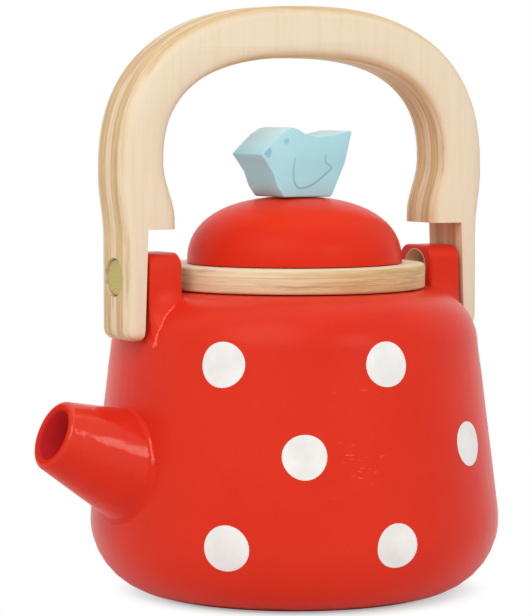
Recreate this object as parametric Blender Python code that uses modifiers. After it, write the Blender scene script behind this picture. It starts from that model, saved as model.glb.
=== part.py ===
"""Toy kettle of turned, painted wood with a swinging plywood handle and a lift-off lid.

Metres, +Z up. The origin is the middle of the base. The spout points to -X, and the spout,
the lugs, the handle and the bird on the lid all lie in the XZ plane.
"""

import math

import bmesh
import bpy

MM = 0.001

# Clearances
GLUE_GAP = 0.3 * MM  # between pieces that touch
PIN_PLAY = 0.3 * MM  # radial, between a pin and its holes
LUG_PLAY = 0.5 * MM  # between a lug's outer face and the handle's leg
PLUG_PLAY = 0.5 * MM  # radial, between the lid's plug and the mouth

# Pot: two arcs joined by their common tangent
BODY_TOP = 88.3 * MM
BASE_FLAT_RADIUS = 38.3 * MM
BASE_CORNER_RADIUS = 21.4 * MM
TOP_FLAT_RADIUS = 37.4 * MM
SHOULDER_RADIUS = 16.0 * MM
MOUTH_LAND = 8.4 * MM  # flat ring round the mouth
CAVITY_RADIUS = TOP_FLAT_RADIUS - MOUTH_LAND
CAVITY_FLOOR = 12.0 * MM
CAVITY_CORNER_RADIUS = 10.0 * MM
MOUTH_EDGE_RADIUS = 1.0 * MM

# Spout: a cone turned on a tilted axis, coped to the pot and held by a tenon
SPOUT_REACH = 19.0 * MM  # of its mouth, past the pot's widest
SPOUT_MOUTH_X = -(BASE_FLAT_RADIUS + BASE_CORNER_RADIUS + SPOUT_REACH)
SPOUT_MOUTH_Z = 49.8 * MM
SPOUT_TILT = math.radians(22.5)
SPOUT_MOUTH_RADIUS = 10.2 * MM
SPOUT_HALF_ANGLE = math.radians(13.0)
SPOUT_LIP_RADIUS = 1.6 * MM
SPOUT_BORE_RADIUS = 7.2 * MM
SPOUT_BORE_DEPTH = 20.0 * MM
SPOUT_TENON_RADIUS = 9.0 * MM
SPOUT_TENON_START = 21.0 * MM
SPOUT_TENON_END = 35.0 * MM
SPOUT_CONE_END = 40.0 * MM

# Lid rim, which the lugs stand clear of
RIM_OVERHANG = 0.6 * MM
RIM_RADIUS = TOP_FLAT_RADIUS + RIM_OVERHANG

# Lugs: blocks with rounded tops, let into the shoulder
PIVOT_RISE = 4.8 * MM  # of the pivot axis, over the pot's top
PIVOT_Z = BODY_TOP + PIVOT_RISE
LUG_HALF_WIDTH = 8.6 * MM
LUG_RISE = 6.8 * MM  # of its top, over the pivot axis
LUG_CORNER_RADIUS = 4.2 * MM
LUG_LENGTH = 10.3 * MM
LUG_RIM_GAP = 4.0 * MM
LUG_INNER_X = RIM_RADIUS + LUG_RIM_GAP
LUG_OUTER_X = LUG_INNER_X + LUG_LENGTH
LUG_SEAT_DEPTH = 9.3 * MM  # of the notch, under the pot's top
LUG_SEAT_Z = BODY_TOP - LUG_SEAT_DEPTH
LUG_EDGE = 0.5 * MM

# Pivot pins
PIN_RADIUS = 5.2 * MM
PIN_IN_LUG = 5.0 * MM
PIN_INNER_X = LUG_OUTER_X - PIN_IN_LUG
PIN_RECESS = 0.7 * MM
PIN_EDGE = 0.4 * MM

# Handle: a plywood arch between two superellipses, with notched legs
HANDLE_THICKNESS = 17.4 * MM
HANDLE_EDGE = 3.2 * MM
LEG_THICKNESS = 6.5 * MM  # beside the lug
LEG_OUTER_X = LUG_OUTER_X + LUG_PLAY + LEG_THICKNESS
LEG_STRAIGHT_RISE = 10.9 * MM  # over the pivot axis, where the leg's outside starts to curve
LEG_STRAIGHT_Z = PIVOT_Z + LEG_STRAIGHT_RISE
LEG_DROP = 17.8 * MM  # under the pivot axis
LEG_BOTTOM_Z = PIVOT_Z - LEG_DROP
LEG_TAPER = 1.1 * MM
LEG_CORNER_RADIUS = 1.5 * MM  # at the bottom, beside the lug
NOTCH_CLEARANCE = 6.7 * MM  # over the lug
NOTCH_TOP_Z = PIVOT_Z + LUG_RISE + NOTCH_CLEARANCE
FOOT_SETBACK = 1.2 * MM  # from the lug's inner face
FOOT_INNER_X = LUG_INNER_X + FOOT_SETBACK
FOOT_HEIGHT = 2.9 * MM  # of its straight inner side
FOOT_STRAIGHT_Z = NOTCH_TOP_Z + FOOT_HEIGHT
ARCH_BULGE = 1.7 * MM  # past the legs
ARCH_HALF_WIDTH = LEG_OUTER_X + ARCH_BULGE
ARCH_WIDEST_RISE = 28.9 * MM  # over the pivot axis
ARCH_WIDEST_Z = PIVOT_Z + ARCH_WIDEST_RISE
ARCH_RISE = 48.0 * MM  # over its widest place
ARCH_TOP_Z = ARCH_WIDEST_Z + ARCH_RISE
ARCH_SQUARENESS = 2.44
ARCH_SIDE = 14.2 * MM  # wood at the side
ARCH_CROWN = 14.9 * MM  # wood at the top
OPENING_HALF_WIDTH = ARCH_HALF_WIDTH - ARCH_SIDE
OPENING_TOP_Z = ARCH_TOP_Z - ARCH_CROWN
OPENING_WIDEST_RISE = 3.0 * MM  # over the arch's widest place
OPENING_WIDEST_Z = ARCH_WIDEST_Z + OPENING_WIDEST_RISE
OPENING_SQUARENESS = 2.55

# Lid, stacked upwards from the pot's top
RIM_THICKNESS = 7.0 * MM
RIM_EDGE_RADIUS = 0.7 * MM
RIM_LEDGE = 6.6 * MM
DOME_RADIUS = RIM_RADIUS - RIM_LEDGE
DOME_HEIGHT = 19.1 * MM
DOME_SQUARENESS = 2.35
DOME_SEAT_RADIUS = 8.0 * MM
PLUG_DEPTH = 8.0 * MM
PLUG_EDGE_RADIUS = 1.0 * MM
DOWEL_RADIUS = 3.0 * MM
DOWEL_IN_BIRD = 9.0 * MM

# Bird knob: (x, height above its base) round its outline, beak towards the spout
BIRD_THICKNESS = 17.2 * MM
BIRD_EDGE = 0.7 * MM
BIRD_OUTLINE_MM = (
    (-8.6, 0.0),
    (-10.8, 3.0),
    (-12.4, 7.2),
    (-15.0, 10.8),
    (-16.4, 12.4),
    (-13.4, 15.2),
    (-10.2, 18.1),
    (-7.4, 19.7),
    (-5.2, 20.1),
    (-3.0, 19.4),
    (-1.2, 18.2),
    (2.5, 17.6),
    (8.0, 18.0),
    (14.6, 19.2),
    (12.2, 9.8),
    (7.6, 0.0),
)

# Facets
TURN_STEPS = 72
MIDDLE_TURN_STEPS = 56
SMALL_TURN_STEPS = 40
ARC_STEPS = 9
ARCH_STEPS = 20
EASE_STEPS = 6
SMOOTH_ANGLE = math.radians(35)
BEVEL_ANGLE = math.radians(40)
CUT_MARGIN = 5.0 * MM
CORNER_OVERCUT = 0.05 * MM

# Where pieces come to rest
RIM_BOTTOM_Z = BODY_TOP + GLUE_GAP
RIM_TOP_Z = RIM_BOTTOM_Z + RIM_THICKNESS
DOME_BOTTOM_Z = RIM_TOP_Z + GLUE_GAP
PLUG_TOP_Z = RIM_BOTTOM_Z - GLUE_GAP
PLUG_BOTTOM_Z = PLUG_TOP_Z - PLUG_DEPTH
NOTCH_X = LUG_OUTER_X + LUG_PLAY

RED = (227, 56, 36)
BARE_WOOD = (226, 196, 150)
PLYWOOD = (233, 213, 182)
DOWEL_WOOD = (196, 172, 112)
SKY_BLUE = (172, 215, 222)


def clear_scene():
    for obj in list(bpy.data.objects):
        bpy.data.objects.remove(obj, do_unlink=True)


def new_collection(name, hidden):
    collection = bpy.data.collections.new(name)
    collection.hide_render = hidden
    bpy.context.scene.collection.children.link(collection)
    return collection


clear_scene()
PARTS = new_collection("toy_kettle", hidden=False)
CUTTERS = new_collection("toy_kettle_cutters", hidden=True)


def paint(obj, colour, roughness):
    """Give the piece its own Principled material; colour is 0-255 sRGB."""
    linear = [((c / 255 + 0.055) / 1.055) ** 2.4 for c in colour]
    material = bpy.data.materials.new(obj.name + "_finish")
    material.use_nodes = True
    shader = material.node_tree.nodes["Principled BSDF"]
    shader.inputs["Base Color"].default_value = (*linear, 1.0)
    shader.inputs["Roughness"].default_value = roughness
    shader.inputs["Metallic"].default_value = 0.0
    obj.data.materials.append(material)


def as_cutter(obj):
    PARTS.objects.unlink(obj)
    CUTTERS.objects.link(obj)
    obj.hide_render = True
    obj.display_type = "WIRE"
    return obj


def boolean(obj, other, operation="DIFFERENCE"):
    modifier = obj.modifiers.new(operation.lower() + "_" + other.name, "BOOLEAN")
    modifier.operation = operation
    modifier.solver = "EXACT"
    modifier.object = other


def bevel(obj, width, segments):
    modifier = obj.modifiers.new("rounded_edges", "BEVEL")
    modifier.width = width
    modifier.segments = segments
    modifier.limit_method = "ANGLE"
    modifier.angle_limit = BEVEL_ANGLE
    modifier.use_clamp_overlap = False


def arc(centre_x, centre_z, radius, start, end, steps=ARC_STEPS):
    """Points of an arc from one angle to another, both in radians, ends included."""
    points = []
    for i in range(steps + 1):
        angle = start + (end - start) * i / steps
        points.append((centre_x + radius * math.cos(angle), centre_z + radius * math.sin(angle)))
    return points


def superellipse(half_width, centre_z, height, squareness, start, end, steps):
    """Points of a superellipse's right half between two angles in radians."""
    points = []
    for i in range(steps + 1):
        angle = start + (end - start) * i / steps
        across = max(math.cos(angle), 0.0) ** (2 / squareness)
        up = max(math.sin(angle), 0.0) ** (2 / squareness)
        points.append((half_width * across, centre_z + height * up))
    return points


def eased(start, end, steps=EASE_STEPS):
    """Points of an S-shaped run between two points, upright at both ends; ends left out."""
    points = []
    for i in range(1, steps):
        t = i / steps
        across = t * t * (3 - 2 * t)
        x = start[0] + (end[0] - start[0]) * across
        points.append((x, start[1] + (end[1] - start[1]) * t))
    return points


def turned(name, profile, steps, closed_loop):
    """Spin a profile of (radius, height) points round Z. Its outer side runs downwards."""
    mesh = bpy.data.meshes.new(name)
    count = len(profile)
    edges = [(i, i + 1) for i in range(count - 1)]
    if closed_loop:
        edges.append((count - 1, 0))
    mesh.from_pydata([(x, 0.0, z) for x, z in profile], edges, [])
    obj = bpy.data.objects.new(name, mesh)
    PARTS.objects.link(obj)
    screw = obj.modifiers.new("turning", "SCREW")
    screw.axis = "Z"
    screw.steps = steps
    screw.render_steps = steps
    screw.use_merge_vertices = True
    screw.merge_threshold = 0.00001
    screw.use_smooth_shade = True
    return obj


def flat_piece(name, outline, thickness, rotation):
    """Saw a closed outline from a board: a filled 2D curve, extruded, then made a mesh."""
    curve = bpy.data.curves.new(name + "_outline", "CURVE")
    curve.dimensions = "2D"
    curve.fill_mode = "BOTH"
    curve.extrude = thickness / 2
    spline = curve.splines.new("POLY")
    spline.points.add(len(outline) - 1)
    for point, (x, y) in zip(spline.points, outline):
        point.co = (x, y, 0.0, 1.0)
    spline.use_cyclic_u = True
    drawn = bpy.data.objects.new(name + "_outline", curve)
    PARTS.objects.link(drawn)
    drawn.rotation_euler = rotation
    bpy.context.view_layer.update()
    graph = bpy.context.evaluated_depsgraph_get()
    mesh = bpy.data.meshes.new_from_object(drawn.evaluated_get(graph))
    mesh.name = name
    weld_caps(mesh)
    obj = bpy.data.objects.new(name, mesh)
    PARTS.objects.link(obj)
    obj.matrix_world = drawn.matrix_world
    bpy.data.objects.remove(drawn, do_unlink=True)
    return obj


def weld_caps(mesh):
    """Join a curve's caps to its sides and make each cap one face, so that bevels run evenly."""
    work = bmesh.new()
    work.from_mesh(mesh)
    bmesh.ops.remove_doubles(work, verts=work.verts, dist=0.000001)
    for side in (1, -1):
        cap = [face for face in work.faces if face.normal.z * side > 0.99]
        bmesh.ops.dissolve_faces(work, faces=cap)
    work.to_mesh(mesh)
    work.free()
    mesh.shade_smooth()
    mesh.set_sharp_from_angle(angle=SMOOTH_ANGLE)


def rod(name, radius, length, location, axis, edge=0.0):
    """A round bar centred on location, along X or Z."""
    bpy.ops.mesh.primitive_cylinder_add(vertices=SMALL_TURN_STEPS, radius=radius, depth=length)
    obj = bpy.context.object
    obj.name = name
    for collection in list(obj.users_collection):
        collection.objects.unlink(obj)
    PARTS.objects.link(obj)
    obj.location = location
    if axis == "X":
        obj.rotation_euler = (0.0, math.pi / 2, 0.0)
    obj.data.shade_smooth()
    obj.data.set_sharp_from_angle(angle=SMOOTH_ANGLE)
    if edge:
        bevel(obj, edge, 1)
    return obj


def pot_outside(grow=0.0):
    """The pot's outer profile from the edge of its flat top to the edge of its flat base."""
    shoulder_z = BODY_TOP - SHOULDER_RADIUS
    run_x = TOP_FLAT_RADIUS - BASE_FLAT_RADIUS
    run_z = shoulder_z - BASE_CORNER_RADIUS
    apart = math.hypot(run_x, run_z)
    lean = math.atan2(run_z, run_x) - math.acos((BASE_CORNER_RADIUS - SHOULDER_RADIUS) / apart)
    shoulder = arc(TOP_FLAT_RADIUS, shoulder_z, SHOULDER_RADIUS + grow, math.pi / 2, lean)
    corner = arc(BASE_FLAT_RADIUS, BASE_CORNER_RADIUS, BASE_CORNER_RADIUS + grow, lean, -math.pi / 2)
    return shoulder + corner


def make_pot():
    floor_corner = arc(
        CAVITY_RADIUS - CAVITY_CORNER_RADIUS,
        CAVITY_FLOOR + CAVITY_CORNER_RADIUS,
        CAVITY_CORNER_RADIUS,
        -math.pi / 2,
        0.0,
        steps=5,
    )
    mouth_edge = arc(
        CAVITY_RADIUS + MOUTH_EDGE_RADIUS,
        BODY_TOP - MOUTH_EDGE_RADIUS,
        MOUTH_EDGE_RADIUS,
        math.pi,
        math.pi / 2,
        steps=3,
    )
    profile = [(0.0, CAVITY_FLOOR)] + floor_corner + mouth_edge + pot_outside() + [(0.0, 0.0)]
    pot = turned("body_shell", profile, TURN_STEPS, closed_loop=False)
    for side, end in ((-1, "front"), (1, "rear")):
        boolean(pot, lug_notch(end, side))
    boolean(pot, spout_rod("spout_socket", GLUE_GAP, SPOUT_TENON_END + GLUE_GAP))
    paint(pot, RED, 0.35)


def lug_notch(end, side):
    """Cutter for the flat-bottomed notch that a lug stands in, open to the outside."""
    outer = BASE_FLAT_RADIUS + BASE_CORNER_RADIUS + CUT_MARGIN
    inner = LUG_INNER_X - GLUE_GAP
    top = BODY_TOP + CUT_MARGIN
    bpy.ops.mesh.primitive_cube_add(size=1.0)
    notch = bpy.context.object
    notch.name = end + "_lug_notch"
    for collection in list(notch.users_collection):
        collection.objects.unlink(notch)
    PARTS.objects.link(notch)
    notch.scale = (outer - inner, 2 * (LUG_HALF_WIDTH + GLUE_GAP), top - LUG_SEAT_Z)
    notch.location = (side * (inner + outer) / 2, 0.0, (top + LUG_SEAT_Z) / 2)
    return as_cutter(notch)


def place_on_spout_axis(obj):
    """Local +Z becomes the spout's axis, outwards, with the mouth at the local origin."""
    obj.location = (SPOUT_MOUTH_X, 0.0, SPOUT_MOUTH_Z)
    obj.rotation_euler = (0.0, SPOUT_TILT - math.pi / 2, 0.0)


def spout_rod(name, grow, end):
    """The spout's tenon, or the socket for it, from inside the cone to a depth behind the mouth."""
    radius = SPOUT_TENON_RADIUS + grow
    profile = [
        (0.0, -SPOUT_TENON_START),
        (radius, -SPOUT_TENON_START),
        (radius, -end),
        (0.0, -end),
    ]
    bar = turned(name, profile, SMALL_TURN_STEPS, closed_loop=False)
    place_on_spout_axis(bar)
    return as_cutter(bar)


def make_spout():
    bore_wall = SPOUT_BORE_RADIUS
    lip_middle = SPOUT_MOUTH_RADIUS - SPOUT_LIP_RADIUS
    lip_start = math.pi / 2
    lip_end = SPOUT_HALF_ANGLE
    cone_radius = SPOUT_MOUTH_RADIUS + SPOUT_CONE_END * math.tan(SPOUT_HALF_ANGLE)
    inner_lip = arc(bore_wall + 1.0 * MM, -1.0 * MM, 1.0 * MM, math.pi, math.pi / 2, steps=3)
    outer_lip = arc(lip_middle, -SPOUT_LIP_RADIUS, SPOUT_LIP_RADIUS, lip_start, lip_end, steps=5)
    profile = [(0.0, -SPOUT_BORE_DEPTH), (bore_wall, -SPOUT_BORE_DEPTH)]
    profile += inner_lip + outer_lip
    profile += [(cone_radius, -SPOUT_CONE_END), (0.0, -SPOUT_CONE_END)]
    spout = turned("spout", profile, MIDDLE_TURN_STEPS, closed_loop=False)
    place_on_spout_axis(spout)
    envelope = [(0.0, BODY_TOP + GLUE_GAP)] + pot_outside(GLUE_GAP) + [(0.0, -GLUE_GAP)]
    boolean(spout, as_cutter(turned("pot_envelope", envelope, TURN_STEPS, closed_loop=False)))
    boolean(spout, spout_rod("spout_tenon", 0.0, SPOUT_TENON_END), "UNION")
    paint(spout, RED, 0.35)


def make_lug(end, side):
    bottom = LUG_SEAT_Z + GLUE_GAP
    corner_y = LUG_HALF_WIDTH - LUG_CORNER_RADIUS
    corner_z = PIVOT_Z + LUG_RISE - LUG_CORNER_RADIUS
    quarter = math.pi / 2
    outline = arc(corner_y, corner_z, LUG_CORNER_RADIUS, 0.0, quarter, steps=6)
    outline += arc(-corner_y, corner_z, LUG_CORNER_RADIUS, quarter, math.pi, steps=6)
    outline += [(-LUG_HALF_WIDTH, bottom), (LUG_HALF_WIDTH, bottom)]
    turn = (math.pi / 2, 0.0, math.pi / 2)
    lug = flat_piece(end + "_lug", outline, LUG_OUTER_X - LUG_INNER_X, turn)
    lug.location.x = side * (LUG_OUTER_X + LUG_INNER_X) / 2
    bevel(lug, LUG_EDGE, 1)
    middle = side * (LUG_INNER_X + LUG_OUTER_X) / 2
    length = LUG_OUTER_X - LUG_INNER_X + 2 * CUT_MARGIN
    bore = rod(end + "_lug_bore", PIN_RADIUS + PIN_PLAY, length, (middle, 0.0, PIVOT_Z), "X")
    boolean(lug, as_cutter(bore))
    paint(lug, RED, 0.38)


def make_pin(end, side):
    outer = LEG_OUTER_X - PIN_RECESS
    middle = side * (PIN_INNER_X + outer) / 2
    pin = rod(end + "_pivot_pin", PIN_RADIUS, outer - PIN_INNER_X, (middle, 0.0, PIVOT_Z), "X", PIN_EDGE)
    paint(pin, DOWEL_WOOD, 0.6)


def handle_half_outline():
    """The right half of the handle's blank, from the top of the arch down the outside and up the inside."""
    quarter = math.pi / 2
    outer = superellipse(
        ARCH_HALF_WIDTH,
        ARCH_WIDEST_Z,
        ARCH_TOP_Z - ARCH_WIDEST_Z,
        ARCH_SQUARENESS,
        quarter,
        0.0,
        ARCH_STEPS,
    )
    inner = superellipse(
        OPENING_HALF_WIDTH,
        OPENING_WIDEST_Z,
        OPENING_TOP_Z - OPENING_WIDEST_Z,
        OPENING_SQUARENESS,
        0.0,
        quarter,
        ARCH_STEPS,
    )
    leg_start = (LEG_OUTER_X, LEG_STRAIGHT_Z)
    foot_end = (FOOT_INNER_X, FOOT_STRAIGHT_Z)
    return (
        outer
        + eased(outer[-1], leg_start)
        + [leg_start]
        + [(LEG_OUTER_X, LEG_BOTTOM_Z), (FOOT_INNER_X, LEG_BOTTOM_Z)]
        + [foot_end]
        + eased(foot_end, inner[0])
        + inner
    )


def leg_notch(side):
    """Cutter for the sharp-edged notch in one leg, open at the bottom and towards the pot."""
    inner, bottom = FOOT_INNER_X - CUT_MARGIN, LEG_BOTTOM_Z - CUT_MARGIN
    corner_x = NOTCH_X + LEG_TAPER + LEG_CORNER_RADIUS
    corner_z = LEG_BOTTOM_Z + LEG_CORNER_RADIUS - CORNER_OVERCUT
    corner = arc(corner_x, corner_z, LEG_CORNER_RADIUS, -math.pi / 2, -math.pi, steps=4)
    outline = [(inner, bottom), (corner_x, bottom)] + corner
    outline += [(NOTCH_X, NOTCH_TOP_Z), (inner, NOTCH_TOP_Z)]
    outline = [(side * x, z - PIVOT_Z) for x, z in outline][::side]
    name = "front_notch" if side < 0 else "rear_notch"
    notch = flat_piece(name, outline, HANDLE_THICKNESS + 2 * CUT_MARGIN, (math.pi / 2, 0.0, 0.0))
    notch.location.z = PIVOT_Z
    return as_cutter(notch)


def make_handle():
    right = handle_half_outline()
    left = [(-x, z) for x, z in reversed(right[1:-1])]
    outline = [(x, z - PIVOT_Z) for x, z in right + left]
    handle = flat_piece("handle", outline, HANDLE_THICKNESS, (math.pi / 2, 0.0, 0.0))
    handle.location.z = PIVOT_Z
    bevel(handle, HANDLE_EDGE, 3)
    for side in (-1, 1):
        boolean(handle, leg_notch(side))
    length = 2 * (LEG_OUTER_X + CUT_MARGIN)
    hole = rod("handle_pin_holes", PIN_RADIUS + PIN_PLAY, length, (0.0, 0.0, PIVOT_Z), "X")
    boolean(handle, as_cutter(hole))
    paint(handle, PLYWOOD, 0.6)


def ring_profile(radius, bottom, top, edge):
    """A disc with a dowel hole and rounded rims."""
    hole = DOWEL_RADIUS + GLUE_GAP
    upper = arc(radius - edge, top - edge, edge, math.pi / 2, 0.0, steps=3)
    lower = arc(radius - edge, bottom + edge, edge, 0.0, -math.pi / 2, steps=3)
    return [(hole, bottom), (hole, top)] + upper + lower


def make_lid():
    rim = turned(
        "lid_rim",
        ring_profile(RIM_RADIUS, 0.0, RIM_THICKNESS, RIM_EDGE_RADIUS),
        TURN_STEPS,
        closed_loop=True,
    )
    rim.location.z = RIM_BOTTOM_Z
    paint(rim, PLYWOOD, 0.6)

    plug = turned(
        "lid_plug",
        ring_profile(CAVITY_RADIUS - PLUG_PLAY, 0.0, PLUG_DEPTH, PLUG_EDGE_RADIUS),
        SMALL_TURN_STEPS,
        closed_loop=True,
    )
    paint(plug, BARE_WOOD, 0.65)

    dome, seat_z = make_dome()
    bird_base = DOME_BOTTOM_Z + seat_z + GLUE_GAP
    bird = make_bird(bird_base)
    dowel_top = bird_base + DOWEL_IN_BIRD
    dowel_middle = (PLUG_BOTTOM_Z + dowel_top) / 2
    dowel = rod("lid_dowel", DOWEL_RADIUS, dowel_top - PLUG_BOTTOM_Z, (0.0, 0.0, dowel_middle), "Z")
    paint(dowel, BARE_WOOD, 0.65)

    plug.location.z = PLUG_BOTTOM_Z
    dome.location.z = DOME_BOTTOM_Z
    bpy.context.view_layer.update()
    for piece in (plug, dome, bird, dowel):
        piece.parent = rim
        piece.matrix_parent_inverse = rim.matrix_world.inverted()


def make_dome():
    """The red dome, flattened at the top where the bird stands; also the height of that seat."""
    hole = DOWEL_RADIUS + GLUE_GAP
    seat_share = 1 - (DOME_SEAT_RADIUS / DOME_RADIUS) ** DOME_SQUARENESS
    seat_z = DOME_HEIGHT * seat_share ** (1 / DOME_SQUARENESS)
    start = math.acos((DOME_SEAT_RADIUS / DOME_RADIUS) ** (DOME_SQUARENESS / 2))
    side = superellipse(DOME_RADIUS, 0.0, DOME_HEIGHT, DOME_SQUARENESS, start, 0.0, 14)
    dome = turned("lid_dome", [(hole, 0.0), (hole, seat_z)] + side, TURN_STEPS, closed_loop=True)
    paint(dome, RED, 0.35)
    return dome, seat_z


def make_bird(base_z):
    outline = [(x * MM, z * MM) for x, z in BIRD_OUTLINE_MM]
    bird = flat_piece("bird_knob", outline, BIRD_THICKNESS, (math.pi / 2, 0.0, 0.0))
    bird.location.z = base_z
    bevel(bird, BIRD_EDGE, 2)
    depth = DOWEL_IN_BIRD + GLUE_GAP
    length = depth + CUT_MARGIN
    middle = base_z + depth - length / 2
    hole = rod("bird_dowel_hole", DOWEL_RADIUS + GLUE_GAP, length, (0.0, 0.0, middle), "Z")
    boolean(bird, as_cutter(hole))
    paint(bird, SKY_BLUE, 0.5)
    return bird


make_pot()
make_spout()
for SIDE, END in ((-1, "front"), (1, "rear")):
    make_lug(END, SIDE)
    make_pin(END, SIDE)
make_handle()
make_lid()
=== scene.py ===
"""Looks of the toy kettle: painted wood, plywood, dots, the bird's print, light and camera."""

import math

import bpy
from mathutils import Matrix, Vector


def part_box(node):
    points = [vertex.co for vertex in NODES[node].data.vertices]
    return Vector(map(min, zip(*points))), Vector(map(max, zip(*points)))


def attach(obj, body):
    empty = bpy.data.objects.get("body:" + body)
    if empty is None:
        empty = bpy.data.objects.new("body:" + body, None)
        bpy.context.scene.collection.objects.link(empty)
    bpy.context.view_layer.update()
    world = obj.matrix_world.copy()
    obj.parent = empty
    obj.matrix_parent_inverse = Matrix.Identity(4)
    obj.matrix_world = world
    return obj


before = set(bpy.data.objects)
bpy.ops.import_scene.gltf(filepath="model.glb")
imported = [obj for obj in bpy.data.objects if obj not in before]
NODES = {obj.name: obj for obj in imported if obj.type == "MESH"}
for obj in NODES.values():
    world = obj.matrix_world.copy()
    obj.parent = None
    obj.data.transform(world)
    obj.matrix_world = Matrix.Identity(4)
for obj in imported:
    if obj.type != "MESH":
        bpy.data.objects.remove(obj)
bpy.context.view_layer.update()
MM = 0.001
TINY = 1e-9  # least step to divide by

# Camera, found by matching the photograph's edges (image 532 x 616)
IMAGE_HEIGHT = 616
FOCAL_PIXELS = 2874.5
SENSOR_MM = 36.0
CAMERA_AT = (-0.43086, -0.71787, 0.14126)
CAMERA_PITCH = math.radians(-4.023)
CAMERA_HEADING = math.radians(-30.403)
CLIP_START = 0.01

# Sizes shared with the solids, metres
PIVOT_Z = 93.1 * MM
BODY_TOP = 88.3 * MM
BASE_FLAT = 38.3 * MM
BASE_CORNER = 21.4 * MM
TOP_FLAT = 37.4 * MM
SHOULDER = 16.0 * MM
CAVITY_RADIUS = 29.0 * MM
CAVITY_FLOOR = 12.0 * MM
SPOUT_MOUTH = Vector((-78.7 * MM, 0.0, 49.8 * MM))
SPOUT_TILT = math.radians(22.5)
SPOUT_MOUTH_RADIUS = 10.2 * MM
SPOUT_BORE = 7.2 * MM
SPOUT_LIP = 1.6 * MM
SPOUT_HALF_ANGLE = math.radians(13.0)
SPOUT_CONE_END = 40.0 * MM
SPOUT_AXIS = Vector((math.cos(SPOUT_TILT), 0.0, -math.sin(SPOUT_TILT)))
SPOUT_UP = Vector((math.sin(SPOUT_TILT), 0.0, math.cos(SPOUT_TILT)))
PIN_BORE = 5.5 * MM

# Sizes read from the solids
LUG_LOW, LUG_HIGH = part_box("rear_lug")
HANDLE_LOW, HANDLE_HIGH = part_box("handle")
RIM_LOW, RIM_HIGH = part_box("lid_rim")
BIRD_LOW, BIRD_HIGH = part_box("bird_knob")

# Colours, sRGB 0-255
RED = (224, 49, 26)
RED_DEEP = (217, 43, 23)
# Pale marks in the paint, and a painted highlight on the beads
RED_PALE_MARKS_AND_HIGHLIGHT = (244, 84, 60)
RED_RUBBED = (244, 120, 92)
# Painted shade: a darker coat inside the spout's bore
RED_SHADED = (212, 46, 50)
# Painted light: a brighter coat on the dome's upper side
RED_PAINTED_LIGHT_TOP = (231, 51, 22)
# Darker foot: partly grime, partly painted shade
RED_FOOT_GRIME_AND_SHADE = (128, 22, 12)
DOT_WHITE = (244, 242, 238)
PLY_FACE = (237, 218, 190)
PLY_FACE_DARK = (227, 204, 170)
PLY_LONG = (238, 214, 178)
PLY_LONG_DARK = (224, 193, 150)
PLY_END = (222, 187, 130)
PLY_END_DARK = (200, 160, 103)
GLUE_LINE = (158, 112, 70)
DOWEL = (196, 180, 106)
DOWEL_DARK = (158, 138, 72)
DOWEL_PORE = (128, 108, 58)
BARE = (228, 200, 158)
BARE_DARK = (204, 168, 120)
# Painted light: paler bare wood for the lugs' pin bores, which lie in shade
BARE_PAINTED_LIGHT = (248, 234, 208)
BARE_DARK_PAINTED_LIGHT = (236, 214, 178)
SKY = (164, 214, 222)
SKY_LIGHT = (177, 221, 227)
# Worn edges, and painted light on the bird's top
SKY_WORN_AND_PAINTED_LIGHT = (211, 240, 246)
SKY_DEEP = (152, 202, 212)
# Painted light: a cooler, lighter blue on the bird's front, which faces the dome
SKY_FRONT_PAINTED_LIGHT = (164, 221, 232)
# Painted light: a lighter blue at the bird's base
SKY_BASE_PAINTED_LIGHT = (178, 241, 247)
PRINT = (142, 196, 208)
PRINT_SOFT = (146, 198, 220)
PRINT_FAINT = (150, 199, 214)
FLOOR_LIGHT = (240, 240, 240)
FLOOR_DARK = (236, 236, 236)

# Noise scales, per metre
PAINT_CLOUD = 26.0
PAINT_BRUSH = 520.0
PAINT_LATHE = 900.0
PAINT_PEEL = 700.0
PAINT_WAVE = 170.0
GRIME_AND_SHADE_CLOUD = 90.0
SCUFF_DASH = 260.0
BARE_GRAIN = 420.0
PLY_DRIFT = 38.0
PLY_STRIPE = 900.0
PLY_FIBRE = 850.0
PLY_FIGURE = 150.0
PLY_STREAK = 620.0
RING_CLOUD = 220.0
PORE_SPECKS = 2600.0
SKY_CLOUD = 60.0
SKY_GRAIN = 800.0
DOT_CLOUD = 120.0
INK_CLOUD = 300.0
EYE_CLOUD = 900.0
FLOOR_SPECKLE = 300.0

# Stretches that turn noise into grain, which runs along the axis with the small share
UPRIGHT = (1.0, 1.0, 0.08)
BRUSHED = (1.0, 1.0, 0.07)
LATHED = (0.05, 0.05, 1.0)
DASHED = (1.0, 1.0, 7.0)
DOWEL_RUN = (0.1, 1.0, 1.0)
BIRD_RUN = (0.12, 1.0, 1.0)
FIBRE_RUN = 0.045
STRATA_RUN = 0.07

# Depths of bump
PAINT_DEPTH = 0.4 * MM
WOOD_DEPTH = 0.3 * MM
INK_DEPTH = 0.2 * MM
FLOOR_DEPTH = 0.1 * MM

# Red paint: its tinted gloss, what bare wood, grime and dullness add to its roughness, the share
# of its marks, and the shares of its bump
PAINT_GLOSS_TINT = (1.0, 0.9, 0.8, 1.0)
BARE_ROUGHER = 0.3
GRIME_ROUGHER = 0.5
DULL_ROUGHER = 0.4
MARKS_SHARE = 0.5
PEEL_SHARE = 0.4
LATHE_SHARE = 0.35
BRUSH_SHARE = 0.3

# How far past a wall or floor its finish starts and ends to fade
CAVITY_FADE = (0.2 * MM, 0.9 * MM)
CAVITY_FLOOR_FADE = (-2.0 * MM, -1.0 * MM)
PIN_BORE_FADE = (0.12 * MM, 0.3 * MM)
SPOUT_BORE_FADE = (0.1 * MM, 0.9 * MM)
SPOUT_END_FADE = (1.2 * MM, 2.6 * MM)

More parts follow.
